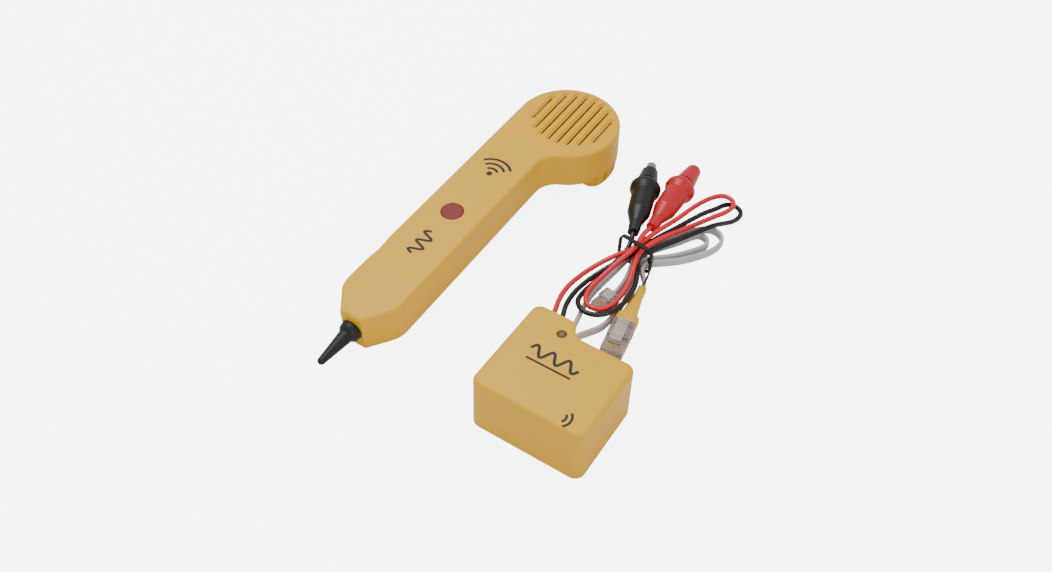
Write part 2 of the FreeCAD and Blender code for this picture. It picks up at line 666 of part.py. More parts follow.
def speaker_leads():
    """Two thin wires from the speaker to the board, along the left side of the battery."""
    x1 = -BATTERY_W / 2 - 1.0
    leads = []
    for i, z in enumerate((16.5, 19.5)):
        points = [(HEAD_X - 4 + 3 * i, GRILLE_Y - MAGNET_R - 0.7, 16.0 + 0.8 * i), (1 + 2 * i, -17, 14.5 + i),
                  (-5.0, -25, z), (-6.2, -31.5, z), (-11.0, -34.9, z), (x1, -39.4, z),
                  (x1, -50, z), (x1, -68, z + 0.4),
                  (x1, -86, z), (x1 + 0.6, -95, z - 0.8), (-11.5 + 3 * i, -100 - i, 17.0),
                  (-10.5 + 3 * i, -102 - 2 * i, PROBE_BOARD_TOP + LEAD_STANDOFF)]
        leads.append(thin_wire(points))
    return group(leads)


def thin_wire(points):
    start = Vector(*points[0])
    ring = Part.Wire(Part.makeCircle(0.5, start, first_direction(points)))
    return swept(points, ring, upright=False)[0]


def probe_board():
    return box(-PROBE_BOARD_W / 2, PROBE_BOARD_W / 2, PROBE_BOARD_FRONT, PROBE_BOARD_REAR,
               PROBE_BOARD_Z, PROBE_BOARD_TOP)


def probe_components():
    """Amplifier chip, capacitors, trimmer and the antenna's terminal."""
    z = PROBE_BOARD_TOP
    chip = box(2, 9.5, -130, -120, z, z + 3.2)
    big_can = rod(3.2, (9, -140, z), (9, -140, z + 10))
    small_can = rod(2.5, (9, -149, z), (9, -149, z + 7))
    trimmer = box(-11, -4.5, -121, -114.5, z, z + 4)
    resistor = rod(1.2, (-6, -108, z + 1.2), (0, -108, z + 1.2))
    terminal = box(-1.6, 1.6, PROBE_BOARD_FRONT + 1, PROBE_BOARD_FRONT + 4, z, MID_Z + 1.6)
    return group([chip, big_can, small_can, trimmer, resistor, terminal])


def antenna_rod():
    start = PROBE_BOARD_FRONT + 1
    return rod(ANTENNA_R, (0, start, MID_Z), (0, start - ANTENNA_L, MID_Z))


def probe_tip():
    """Soft black tip: a flange inside the nose, a domed collar and a long cone."""
    root = MOULD_WALL + TIP_FLANGE_T
    profile = [(-root, TIP_FLANGE_R), (-MOULD_WALL, TIP_FLANGE_R), (-MOULD_WALL, TIP_NECK_R),
               (0, TIP_NECK_R), (0, TIP_COLLAR_R - 0.3), (0.6, TIP_COLLAR_R)]
    for i in range(1, 6):
        angle = math.radians(15 * i)
        profile.append((0.6 + (TIP_COLLAR_L - 0.6) * math.sin(angle),
                        TIP_ROOT_R + (TIP_COLLAR_R - TIP_ROOT_R) * math.cos(angle)))
    profile.append((TIP_COLLAR_L + 0.4, TIP_ROOT_R))
    profile.append((TIP_OUT - TIP_END_R, TIP_END_R))
    for i in range(1, 6):
        angle = math.radians(18 * i)
        radius = TIP_END_R * math.cos(angle)
        profile.append((TIP_OUT - TIP_END_R + TIP_END_R * math.sin(angle), max(radius, 0.0)))
    tip = turned(profile[:-1] + [(TIP_OUT, 0)], (0, NOSE_Y, MID_Z), (0, -1, 0))
    start = PROBE_BOARD_FRONT + 1
    bore = rod(ANTENNA_R + SLIP, (0, start, MID_Z), (0, start - ANTENNA_L - 0.5, MID_Z))
    return cut(tip, [bore])


def power_button():
    """Round cap with a retaining flange under the roof and a stem to the switch."""
    top = TOP_Z + BUTTON_PROUD
    flange_top = ROOF_Z - 0.2
    plunger_top = PROBE_BOARD_TOP + SWITCH_H + PLUNGER_OUT
    cap = rod(BUTTON_R, (0, BUTTON_Y, flange_top - 0.1), (0, BUTTON_Y, top))
    cap = round_edges(cap, 0.4, lambda b: b.ZMin > top - 0.01)
    flange = rod(BUTTON_FLANGE_R, (0, BUTTON_Y, flange_top - BUTTON_FLANGE_T), (0, BUTTON_Y, flange_top))
    stem = rod(BUTTON_STEM_R, (0, BUTTON_Y, plunger_top), (0, BUTTON_Y, flange_top - 0.5))
    return joined([cap, flange, stem])


def switch_body():
    half = SWITCH_SIDE / 2
    z = PROBE_BOARD_TOP
    body = box(-half, half, BUTTON_Y - half, BUTTON_Y + half, z, z + SWITCH_H)
    room = PLUNGER_SIDE / 2 + 0.2
    well = box(-room, room, BUTTON_Y - room, BUTTON_Y + room,
               z + SWITCH_H - PLUNGER_IN - BUTTON_TRAVEL - 0.4, z + SWITCH_H + 1)
    return cut(body, [well])


def switch_plunger():
    half = PLUNGER_SIDE / 2
    z = PROBE_BOARD_TOP + SWITCH_H
    return box(-half, half, BUTTON_Y - half, BUTTON_Y + half, z - PLUNGER_IN, z + PLUNGER_OUT)


def volume_pot():
    """Potentiometer body on the board with the shaft that carries the wheel."""
    z = PROBE_BOARD_TOP
    body = rod(POT_R, (WHEEL_X, WHEEL_Y, z), (WHEEL_X, WHEEL_Y, z + POT_H))
    shaft = rod(POT_SHAFT_R, (WHEEL_X, WHEEL_Y, z), (WHEEL_X, WHEEL_Y, WHEEL_Z + WHEEL_T + 0.6))
    return joined([body, shaft])


def volume_wheel():
    """Thumb wheel with a notched rim."""
    wheel = rod(WHEEL_R, (WHEEL_X, WHEEL_Y, WHEEL_Z), (WHEEL_X, WHEEL_Y, WHEEL_Z + WHEEL_T))
    tools = [rod(POT_SHAFT_R + SLIP, (WHEEL_X, WHEEL_Y, WHEEL_Z - 1), (WHEEL_X, WHEEL_Y, WHEEL_Z + WHEEL_T + 1))]
    for i in range(WHEEL_NOTCHES):
        angle = PI2 * i / WHEEL_NOTCHES
        x = WHEEL_X + (WHEEL_R + 0.15) * math.cos(angle)
        y = WHEEL_Y + (WHEEL_R + 0.15) * math.sin(angle)
        tools.append(rod(0.45, (x, y, WHEEL_Z - 1), (x, y, WHEEL_Z + WHEEL_T + 1)))
    return cut(wheel, tools)


def speaker_parts():
    """Basket, cone and magnet, hung under the grille."""
    centre = (HEAD_X + GRILLE_X, GRILLE_Y, ROOF_Z - 0.1)
    down = (0, 0, -1)
    basket = turned([(0, SPEAKER_R), (1.2, SPEAKER_R), (1.2, SPEAKER_R - 3), (SPEAKER_H, MAGNET_R),
                     (SPEAKER_H, 0)], centre, down)
    inside = turned([(-1, SPEAKER_R - 2.5), (0.6, SPEAKER_R - 2.5), (0.6, SPEAKER_R - 3 - SHEET_T),
                     (SPEAKER_H - SHEET_T, MAGNET_R - SHEET_T)], centre, down)
    frame = cut(basket, [inside])
    reach = SPEAKER_R - 3 - SHEET_T
    cone = turned([(0.9, reach - 0.9), (1.6, reach - 1.7), (5.6, 4.6), (5.6, 0)], centre, down)
    hollow = turned([(0.8, reach - 1.9), (0.9, reach - 1.9), (4.6, 4.4), (4.6, 0)], centre, down)
    cone = cut(cone, [hollow])
    magnet = rod(MAGNET_R, (centre[0], centre[1], centre[2] - SPEAKER_H),
                 (centre[0], centre[1], centre[2] - SPEAKER_H - MAGNET_H))
    return frame, cone, magnet


def probe_case_screws():
    return group([case_screw(x, y, UNDER_Z + SCREW_HEAD_T) for x, y in PROBE_POSTS])


def set_down_probe(shape):
    """From the probe's frame to the table: tilted until the nose and the boss both rest."""
    shape.Placement = Placement(Vector(PROBE_X, PROBE_Y, PROBE_LIFT),
                                Rotation(Vector(1, 0, 0), PROBE_TILT)).multiply(shape.Placement)
    return shape


# -------------------------------------------------------------------------- the generator
# Generator frame: origin in the middle of the main block's footprint.
GEN_HALF_W = GEN_W / 2
GEN_HALF_L = GEN_L / 2
GEN_FAR = GEN_HALF_L + GEN_BLOCK_STEP
GEN_ROOF = GEN_H - MOULD_WALL
GEN_BOARD_TOP = GEN_BOARD_Z + BOARD_T
GEN_POSTS = [(-25.0, -19.4), (25.0, -19.4), (-25.0, 19.4), (25.0, 19.4)]
GEN_DOOR_Y = GEN_BATTERY_Y + GEN_DOOR_L / 2


def generator_outline(grow):
    """Rectangle with a block that steps out at the far left, joined by a hollow curve."""
    half, near, far, step = GEN_HALF_W + grow, -GEN_HALF_L - grow, GEN_HALF_L + grow, GEN_FAR + grow
    block = -GEN_HALF_W + GEN_BLOCK_W + grow
    points = [(-half, near), (half, near), (half, far), (block + 3.4, far), (block - 0.8, step), (-half, step)]
    corner = GEN_CORNER_R + grow
    return rounded_wire(points, [corner, corner, corner, GEN_HOLLOW_R - grow, 2.6 + grow, corner])


def generator_case():
    """Deep drafted box, open below, with screw posts, lead holes, LED hole and switch slot."""
    low = generator_outline(GEN_DRAFT)
    high = generator_outline(0)
    high.translate(Vector(0, 0, GEN_H))
    body = Part.makeLoft([low, high], True, True)
    body = round_edges(body, GEN_EDGE_ROUND, lambda b: b.ZMin > GEN_H - 0.01)
    shell = body.cut(prism(generator_outline(-MOULD_WALL), -1, GEN_ROOF))
    posts = [rod(POST_R, (x, y, GEN_BASE_T), (x, y, GEN_ROOF + 0.5)) for x, y in GEN_POSTS]
    shell = joined([shell] + posts)
    tools = [rod(SCREW_R, (x, y, 0), (x, y, GEN_BASE_T + SCREW_L)) for x, y in GEN_POSTS]
    tools.append(rod(LED_R + 0.2, (LED_X, LED_Y, GEN_ROOF - 1), (LED_X, LED_Y, GEN_H + 1)))
    reach = SLIDER_W / 2 + SLIDER_TRAVEL + GAP
    tools.append(box(-GEN_HALF_W - 2, -GEN_HALF_W + MOULD_WALL + 1, -reach, reach,
                     SLIDER_Z - GAP, SLIDER_Z + SLIDER_H + GAP))
    tools += [round_exit(x, WIRE_R + GROMMET_WALL) for x in (RED_EXIT_X, BLACK_EXIT_X)]
    tools.append(flat_exit(GROMMET_WALL, GEN_FAR - MOULD_WALL - 2, GEN_FAR + 2))
    return cut(shell, tools)


def round_exit(row_x, radius, y0=None, y1=None):
    """A round bar through the far wall where a wire leaves."""
    x = row_x - GENERATOR_X
    y0 = GEN_FAR - MOULD_WALL - 2 if y0 is None else y0
    y1 = GEN_FAR + 2 if y1 is None else y1
    return rod(radius, (x, y0, EXIT_Z), (x, y1, EXIT_Z))


def flat_exit(margin, y0, y1):
    """A block through the far wall, round both flat leads with a margin."""
    x0 = NETWORK_EXIT_X - GENERATOR_X - RIBBON_T / 2 - margin
    x1 = PHONE_EXIT_X - GENERATOR_X + RIBBON_T / 2 + margin
    half = RIBBON_W / 2 + margin
    return box(x0, x1, y0, y1, EXIT_Z - half, EXIT_Z + half)


def wire_grommets():
    """Two rubber rings that the red and the black wire leave through."""
    rings = []
    inner, outer = GEN_FAR - MOULD_WALL, GEN_FAR + GEN_DRAFT
    for x in (RED_EXIT_X, BLACK_EXIT_X):
        sleeve = round_exit(x, WIRE_R + GROMMET_WALL, inner, outer)
        flange = turned([(0, WIRE_R + GROMMET_WALL + GROMMET_FLANGE), (0.7, WIRE_R + GROMMET_WALL + GROMMET_FLANGE),
                         (GROMMET_OUT, WIRE_R + GROMMET_WALL)], (x - GENERATOR_X, outer, EXIT_Z), (0, 1, 0))
        rings.append(cut(joined([sleeve, flange]), [round_exit(x, WIRE_R + LEAD_PLAY, inner - 1, outer + 3)]))
    return group(rings)


def flat_grommet():
    """One rubber block that both flat leads leave through."""
    inner, outer = GEN_FAR - MOULD_WALL, GEN_FAR + GEN_DRAFT
    body = joined([flat_exit(GROMMET_WALL, inner, outer),
                   flat_exit(GROMMET_WALL + 0.6, outer, outer + GROMMET_OUT)])
    half, thin = RIBBON_W / 2 + LEAD_PLAY, RIBBON_T / 2 + LEAD_PLAY
    slots = [box(x - GENERATOR_X - thin, x - GENERATOR_X + thin, inner - 1, outer + 3,
                 EXIT_Z - half, EXIT_Z + half) for x in (NETWORK_EXIT_X, PHONE_EXIT_X)]
    beside = round_exit(BLACK_EXIT_X, WIRE_R + GROMMET_WALL + GROMMET_FLANGE + 0.15, outer - 0.5, outer + 3)
    return cut(body, slots + [beside])


def generator_base():
    """Plate that closes the case from below, with the door opening and screw holes."""
    plate = prism(generator_outline(-MOULD_WALL - 0.15), 0, GEN_BASE_T)
    tools = []
    for x, y in GEN_POSTS:
        tools.append(rod(SCREW_R + 0.2, (x, y, -1), (x, y, GEN_BASE_T + 1)))
        tools.append(rod(SCREW_HEAD_R + 0.1, (x, y, -1), (x, y, SCREW_HEAD_T + 0.05)))
    opening = door_opening(GEN_DOOR_W, GEN_DOOR_L)
    holes = door_pin_holes(GEN_DOOR_W)
    for tool in (opening, holes):
        tool.translate(Vector(0, GEN_DOOR_Y, 0))
    return cut(plate, tools + [opening, holes])


def generator_battery_door():
    door = battery_door(GEN_DOOR_W, GEN_DOOR_L)
    door.translate(Vector(0, GEN_DOOR_Y, 0))
    return door


def turn_battery(shape):
    """Lay the battery across the generator, its terminals to the right."""
    shape.Placement = Placement(Vector(-0.9, GEN_BATTERY_Y, GEN_BASE_T + 0.3),
                                Rotation(Vector(0, 0, 1), -90)).multiply(shape.Placement)
    return shape


def generator_battery():
    return turn_battery(nine_volt_battery())


def generator_battery_snap():
    return turn_battery(battery_snap())


def generator_snap_leads():
    """Two thin wires from the snap up past the board's edge and onto it."""
    leads = []
    x0 = -0.9 + BATTERY_L / 2 - 2.2 + SNAP_T + LEAD_STANDOFF
    for i, y in enumerate((-6.0, 2.0)):
        points = [(x0, y, 14.0), (x0 + 1.2, y, 15.5), (x0 + 1.2, y + 0.6, 19.0), (x0 - 0.6, y + 1.2, 23.5),
                  (x0 - 3.2, y + 1.6, 26.0), (x0 - 5.8, y + 1.8, 25.6), (x0 - 6.6, y + 1.8, GEN_BOARD_TOP + LEAD_STANDOFF)]
        leads.append(thin_wire(points))
    return group(leads)


def generator_board():
    """Board under the roof, with a tab at the left for the slide switch."""
    main = box(-21.2, 21.2, -21.5, 22.4, GEN_BOARD_Z, GEN_BOARD_TOP)
    tab = box(-27.6, -21.2, -8.5, 8.5, GEN_BOARD_Z, GEN_BOARD_TOP)
    tail = box(-21.2, -8.6, 22.4, 28.4, GEN_BOARD_Z, GEN_BOARD_TOP)
    return joined([main, tab, tail])


def generator_components():
    """Tone chip, capacitors and resistors on the generator's board."""
    z = GEN_BOARD_TOP
    return group([
        box(2, 11.5, -6, 1, z, z + 3.4),
        rod(3.0, (-8, -12, z), (-8, -12, z + 6.5)),
        rod(2.5, (0, -14, z), (0, -14, z + 6.0)),
        box(-6, 0, 4, 10, z, z + 4.5),
        rod(1.1, (6, 8, z + 1.1), (12, 8, z + 1.1)),
        rod(1.1, (6, 12, z + 1.1), (12, 12, z + 1.1))])


def generator_led():
    """Clear LED: flange, body and dome."""
    z = GEN_BOARD_TOP
    top = GEN_H + 0.3
    profile = [(0, LED_R + 0.1 + 0.5), (1.0, LED_R + 0.6), (1.0, LED_R)]
    for i in range(6):
        angle = math.radians(18 * i)
        profile.append((top - z - LED_R + LED_R * math.sin(angle), LED_R * math.cos(angle)))
    return turned(profile[:-1] + [(top - z, 0)], (LED_X, LED_Y, z), (0, 0, 1))


def slide_switch_body():
    z = GEN_BOARD_TOP
    x0 = -GEN_HALF_W + MOULD_WALL + 0.3
    body = box(x0, x0 + 6.5, -7.5, 7.5, z, z + 6.0)
    reach = SLIDER_W / 2 + SLIDER_TRAVEL + GAP
    well = box(x0 - 1, x0 + 3, -reach, reach, SLIDER_Z - GAP, SLIDER_Z + SLIDER_H + GAP)
    return cut(body, [well])


def switch_slider():
    """Ridged knob of the three-position switch, standing out of the left wall."""
    x0 = -GEN_HALF_W - SLIDER_PROUD
    half = SLIDER_W / 2
    knob = box(x0, -GEN_HALF_W + MOULD_WALL + 2.8, -half, half, SLIDER_Z, SLIDER_Z + SLIDER_H)
    grooves = [box(x0 - 1, x0 + 0.4, y - 0.2, y + 0.2, SLIDER_Z - 1, SLIDER_Z + SLIDER_H + 1)
               for y in (-0.8, 0.0, 0.8)]
    return cut(knob, grooves)


def generator_case_screws():
    return group([case_screw(x, y, SCREW_HEAD_T + 0.01) for x, y in GEN_POSTS])


def set_down_generator(shape):
    shape.Placement = Placement(Vector(GENERATOR_X, GENERATOR_Y, 0), Rotation()).multiply(shape.Placement)
    return shape


# -------------------------------------------------------------------------------- the clips
# Clip frame: X along the clip from the boot's collar to the jaws, Z up, jaws open upwards.
def boot_profile(inset):
    """Outside of the boot from its collar to just behind the rim."""
    return [(0, BOOT_NECK_R - inset), (BOOT_NECK_L, BOOT_NECK_R + 0.6 - inset),
            (BOOT_NECK_L + 9, BOOT_BODY_R - 0.6 - inset), (BOOT_BODY_L - 5, BOOT_BODY_R - inset)]


def clip_boot():
    """Soft sleeve over the levers, with its flared rim."""
    outside = boot_profile(0) + [(BOOT_BODY_L - 1.5, BOOT_RIM_R), (BOOT_BODY_L + BOOT_RIM_T - 1.5, BOOT_RIM_R),
                                 (BOOT_BODY_L + BOOT_RIM_T, BOOT_RIM_R - 0.8)]
    shell = turned(outside, (0, 0, 0), (1, 0, 0))
    inside = [(BOOT_NECK_L - 2, 1.5)] + boot_profile(BOOT_WALL)[1:] + [
        (BOOT_BODY_L + BOOT_RIM_T + 1, BOOT_BODY_R - BOOT_WALL)]
    return cut(shell, [turned(inside, (0, 0, 0), (1, 0, 0))])


def half_shell(upper, start, end, root_r, tip_r, wall):
    """Half of a thin closed-ended cone round the X axis, above or below the middle plane."""
    outer = turned([(start, root_r), (end - 1, tip_r), (end, tip_r - 1.0)], (0, 0, 0), (1, 0, 0))
    slope = (root_r - tip_r) / (end - 1 - start)
    inner = turned([(start - 1, root_r - wall + slope), (end - 1 - wall, tip_r - wall)], (0, 0, 0), (1, 0, 0))
    if upper:
        keep = box(start - 1, end + 1, -20, 20, JAW_HALF_GAP, 20)
    else:
        keep = box(start - 1, end + 1, -20, 20, -20, -JAW_HALF_GAP)
    return outer.cut(inner).common(keep)


def clip_jaw(upper, jaw_end):
    """One pressed jaw: half-round front, two ears at the pivot, flat lever behind."""
    front = half_shell(True, CLIP_PIVOT + 1.0, jaw_end, JAW_ROOT_R, JAW_TIP_R, JAW_WALL)
    half = LEVER_W / 2
    lever = box(LEVER_REAR, CLIP_PIVOT - 1.0, -half, half, LEVER_Z, LEVER_Z + JAW_WALL)
    tongue = box(CLIP_PIVOT - 2.0, CLIP_PIVOT + 4.0, -1.5, 1.5, LEVER_Z, LEVER_Z + JAW_WALL)
    ear_y = half - EAR_T if upper else half - 2 * EAR_T - 0.3
    ears = [box(CLIP_PIVOT - 2.4, CLIP_PIVOT + 2.0, y, y + EAR_T, -1.8, LEVER_Z + 0.1)
            for y in (ear_y, -ear_y - EAR_T)]
    jaw = joined([front, lever, tongue] + ears)
    jaw = cut(jaw, [rod(PIN_R + SLIP, (CLIP_PIVOT, -10, 0), (CLIP_PIVOT, 10, 0))])
    if not upper:
        jaw.rotate(Vector(0, 0, 0), Vector(1, 0, 0), 180)
    return jaw


def clip_nose(upper, nose_end):
    """Half of the soft nose, moulded on its jaw."""
    start = CLIP_PIVOT + 1.0
    slope = (JAW_ROOT_R - JAW_TIP_R) / (JAW_END - 1 - start)
    tip_inner = JAW_ROOT_R - slope * (nose_end - start) + 0.1
    outer = turned([(start, JAW_ROOT_R + NOSE_WALL + 0.1), (nose_end - 1.5, tip_inner + NOSE_WALL),
                    (nose_end, tip_inner + NOSE_WALL - 0.9)], (0, 0, 0), (1, 0, 0))
    inner = turned([(start - 1, JAW_ROOT_R + 0.1 + slope), (nose_end + 1, tip_inner - slope)], (0, 0, 0), (1, 0, 0))
    low, high = (JAW_HALF_GAP, 20) if upper else (-20, -JAW_HALF_GAP)
    return outer.cut(inner).common(box(start - 1, nose_end + 1, -20, 20, low, high))


def clip_spring():
    """Torsion spring round the pin with one leg on the lower lever."""
    half = LEVER_W / 2 - 2 * EAR_T - 0.6
    coil = rod(PIN_R + 1.0, (CLIP_PIVOT, -half, 0), (CLIP_PIVOT, half, 0))
    coil = cut(coil, [rod(PIN_R + 0.15, (CLIP_PIVOT, -half - 1, 0), (CLIP_PIVOT, half + 1, 0))])
    leg = rod(0.35, (CLIP_PIVOT - 1.2, -half + 0.4, -1.2), (CLIP_PIVOT - 12, -half + 0.4, -LEVER_Z + 0.36))
    return joined([coil, leg])


def place_clip(shape, route, heading):
    """Set a clip's piece on the end of its wire."""
    turn = Rotation(Vector(0, 0, 1), heading)
    shape.Placement = Placement(Vector(*route[-1]), turn).multiply(shape.Placement)
    return shape


def clip_pieces(colour, route, heading, nose_end, jaw_end):
    half = LEVER_W / 2 + 0.5
    pieces = {
        "boot": clip_boot(),
        "lower_nose": clip_nose(False, nose_end),
        "upper_nose": clip_nose(True, nose_end),
        "lower_jaw": clip_jaw(False, jaw_end),
        "upper_jaw": clip_jaw(True, jaw_end),
        "pivot_pin": rod(PIN_R, (CLIP_PIVOT, -half, 0), (CLIP_PIVOT, half, 0)),
        "spring": clip_spring()}
    return {"%s_clip_%s" % (colour, name): place_clip(shape, route, heading)
            for name, shape in pieces.items()}


# --------------------------------------------------------------------------- modular plugs
# Plug frame: X from the cable end to the nose, Y across, Z up from the underside.
def plug_body(width, length, height):
    """Clear body: block with a lower nose step and an open row of contact slots."""
    half = width / 2
    body = soft_block(0, length, -half, half, 0, height - 1.6, 0.6)
    shoulder = soft_block(0, length * 0.55, -half, half, height - 1.7, height, 0.6)
    latch_root = box(length - 6.8, length - 5.2, -width * 0.27, width * 0.27, height - 1.7, height)
    return joined([body, shoulder, latch_root])


def plug_contacts(width, length, height, count):
    """Gold blades standing in the nose's top."""
    pitch = 1.02
    z = height - 1.6
    return group([box(length - 4.5, length - 1.0, (i - (count - 1) / 2) * pitch - PLUG_CONTACT_T / 2,
                      (i - (count - 1) / 2) * pitch + PLUG_CONTACT_T / 2, z, z + 0.5) for i in range(count)])


def plug_latch(width, length, height):
    """Springy tab hinged at the nose, its free end raised over the cable end."""
    half, thick = width * 0.27, 0.9
    axis = Vector(0, 0, thick / 2)
    tab = soft_block(-length + 7.0, 0, -half, half, 0, thick, 0.4)
    tab = joined([tab, rod(thick / 2, (0, -half, axis.z), (0, half, axis.z))])
    tab.rotate(axis, Vector(0, 1, 0), LATCH_LIFT)
    tab.translate(Vector(length - 6.0, 0, height + 0.3))
    return tab


def place_plug(shape, rear, heading):
    turn = Rotation(Vector(0, 0, 1), heading)
    shape.Placement = Placement(Vector(*rear), turn).multiply(shape.Placement)
    return shape


def plug_boot():
    """Tapered yellow hood from the flat lead to the back of the network plug."""
    wide, tall = RJ45_W * 0.5 + 0.2, RJ45_H * 0.5
    sections = [(0, 2.2, 2.9), (6, 2.3, 3.0), (PLUG_BOOT_L - 7, 4.1, 3.7), (PLUG_BOOT_L - 5, wide, tall),
                (PLUG_BOOT_L, wide, tall)]
    wires = []
    for x, half_w, half_h in sections:
        outline = rounded_wire([(-half_w, -half_h), (half_w, -half_h), (half_w, half_h), (-half_w, half_h)],
                               [min(half_w, half_h) * 0.6] * 4)
        outline.Placement = Placement(Vector(x, 0, tall), Rotation(Vector(1, 1, 1), 120))
        wires.append(outline)
    return Part.makeLoft(wires, True, True)


def network_plug():
    """Boot and plug in line at the end of the network lead."""
    x, y, _ = NETWORK_ROUTE[-1]
    heading = NETWORK_PLUG_HEADING
    rear = (x, y, 0.0)
    ahead = Rotation(Vector(0, 0, 1), heading).multVec(Vector(PLUG_BOOT_L, 0, 0))
    back = (x + ahead.x, y + ahead.y, 0.0)
    return {
        "network_plug_boot": place_plug(plug_boot(), rear, heading),
        "network_plug_body": place_plug(plug_body(RJ45_W, RJ45_L, RJ45_H), back, heading),
        "network_plug_contacts": place_plug(plug_contacts(RJ45_W, RJ45_L, RJ45_H, 8), back, heading),
        "network_plug_latch": place_plug(plug_latch(RJ45_W, RJ45_L, RJ45_H), back, heading)}


def phone_plug():
    x, y, _ = PHONE_ROUTE[-1]
    rear = (x, y, 0.0)
    heading = PHONE_PLUG_HEADING
    return {
        "phone_plug_body": place_plug(plug_body(RJ11_W, RJ11_L, RJ11_H), rear, heading),
        "phone_plug_contacts": place_plug(plug_contacts(RJ11_W, RJ11_L, RJ11_H, 4), rear, heading),
        "phone_plug_latch": place_plug(plug_latch(RJ11_W, RJ11_L, RJ11_H), rear, heading)}


def twist_tie():
    """Plastic-covered wire tie: a ring round the bundle, a twisted knot and a loose tail."""
    half, low = TIE_HALF_W, TIE_BAND_T / 2 + 0.05
    ring = rounded_wire([(-half, low), (half, low), (half, TIE_TOP), (-half, TIE_TOP)], [TIE_CORNER_R] * 4)
    thick, wide = TIE_BAND_T / 2, TIE_BAND_W / 2
    section = Part.makePolygon([Vector(0, low + a, b) for a, b in (
        (-thick, -wide), (thick, -wide), (thick, wide), (-thick, wide), (-thick, -wide))])
    edges = Part.__sortEdges__(ring.Edges)
    loop = Part.Wire(edges).makePipeShell([section], True, False)
    loop.Placement = Placement(Vector(TIE_AT[0], TIE_AT[1], 0),
                               Rotation(Vector(0, 0, 1), TIE_TURN).multiply(Rotation(Vector(1, 0, 0), 90)))
    root, ahead = Vector(*TIE_TAIL[0]), first_direction(TIE_TAIL)
    tail = swept(TIE_TAIL, Part.Wire(Part.makeCircle(TIE_R, root, ahead)), upright=False)[0]
    knot = Part.makeCylinder(TIE_KNOT_R, 3 * TIE_KNOT_R, root - ahead * TIE_KNOT_R, ahead)
    return joined([loop, knot.makeFillet(0.5, [edge for edge in knot.Edges if edge.isClosed()]), tail])


# ------------------------------------------------------------------------------- build all
def build():
    pieces = {}
    frame, cone, magnet = speaker_parts()
    probe = {
        "probe_top_shell": probe_top_shell(), "probe_bottom_shell": probe_bottom_shell(),
        "probe_battery_door": probe_battery_door(), "probe_tip": probe_tip(),
        "antenna_rod": antenna_rod(), "power_button": power_button(), "switch_body": switch_body(),
        "switch_plunger": switch_plunger(), "probe_board": probe_board(),
        "probe_components": probe_components(), "speaker_frame": frame, "speaker_cone": cone,
        "speaker_magnet": magnet, "speaker_leads": speaker_leads(), "volume_pot": volume_pot(),
        "volume_wheel": volume_wheel(), "probe_battery": probe_battery(),
        "probe_battery_snap": probe_battery_snap(), "probe_snap_leads": probe_snap_leads(),
        "probe_case_screws": probe_case_screws()}
    for name, shape in probe.items():
        pieces[name] = set_down_probe(shape)
    generator = {
        "generator_case": generator_case(), "generator_base": generator_base(),
        "generator_battery_door": generator_battery_door(), "generator_board": generator_board(),
        "generator_components": generator_components(), "generator_led": generator_led(),
        "slide_switch_body": slide_switch_body(), "switch_slider": switch_slider(),
        "generator_battery": generator_battery(), "generator_battery_snap": generator_battery_snap(),
        "generator_snap_leads": generator_snap_leads(), "generator_case_screws": generator_case_screws(),
        "wire_grommets": wire_grommets(), "flat_grommet": flat_grommet()}
    for name, shape in generator.items():
        pieces[name] = set_down_generator(shape)
    pieces["red_lead"] = round_lead("red_lead", RED_ROUTE, WIRE_R)
    pieces["black_lead"] = round_lead("black_lead", BLACK_ROUTE, WIRE_R)
    pieces["network_lead"] = flat_lead("network_lead", NETWORK_ROUTE, RIBBON_W, RIBBON_T)
    pieces["phone_lead"] = flat_lead("phone_lead", PHONE_ROUTE, RIBBON_W, RIBBON_T)
    pieces["twist_tie"] = twist_tie()
    pieces.update(clip_pieces("red", RED_ROUTE, RED_HEADING, RED_NOSE_END, RED_JAW_END))
    pieces.update(clip_pieces("black", BLACK_ROUTE, BLACK_HEADING, BLACK_NOSE_END, JAW_END))
    pieces.update(network_plug())
    pieces.update(phone_plug())
    return pieces


def main():
    os.makedirs("parts", exist_ok=True)
    for name, shape in build().items():
        shape.exportStep("parts/%s.step" % name)
        box_ = shape.BoundBox
        print("%-24s solids %d valid %s x %.2f..%.2f y %.2f..%.2f z %.2f..%.2f" % (
            name, len(shape.Solids), shape.isValid(), box_.XMin, box_.XMax, box_.YMin, box_.YMax,
            box_.ZMin, box_.ZMax))


main()
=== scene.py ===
import json
import math

import bpy
import numpy as np
from mathutils import Matrix, Vector


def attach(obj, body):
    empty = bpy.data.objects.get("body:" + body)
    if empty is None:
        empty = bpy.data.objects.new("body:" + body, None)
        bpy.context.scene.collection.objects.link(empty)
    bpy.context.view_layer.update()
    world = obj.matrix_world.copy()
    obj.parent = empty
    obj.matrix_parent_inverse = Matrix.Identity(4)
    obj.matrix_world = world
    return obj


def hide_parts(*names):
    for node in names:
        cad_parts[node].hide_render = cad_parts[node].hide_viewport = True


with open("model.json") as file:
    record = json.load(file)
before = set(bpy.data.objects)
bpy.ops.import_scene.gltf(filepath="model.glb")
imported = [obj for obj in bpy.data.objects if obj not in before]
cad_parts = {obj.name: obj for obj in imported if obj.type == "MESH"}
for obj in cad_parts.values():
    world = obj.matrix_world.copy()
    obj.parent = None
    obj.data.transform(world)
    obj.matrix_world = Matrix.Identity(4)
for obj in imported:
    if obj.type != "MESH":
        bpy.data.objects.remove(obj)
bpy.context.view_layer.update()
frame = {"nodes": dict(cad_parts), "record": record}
NODES = frame["nodes"]
MM = 0.001

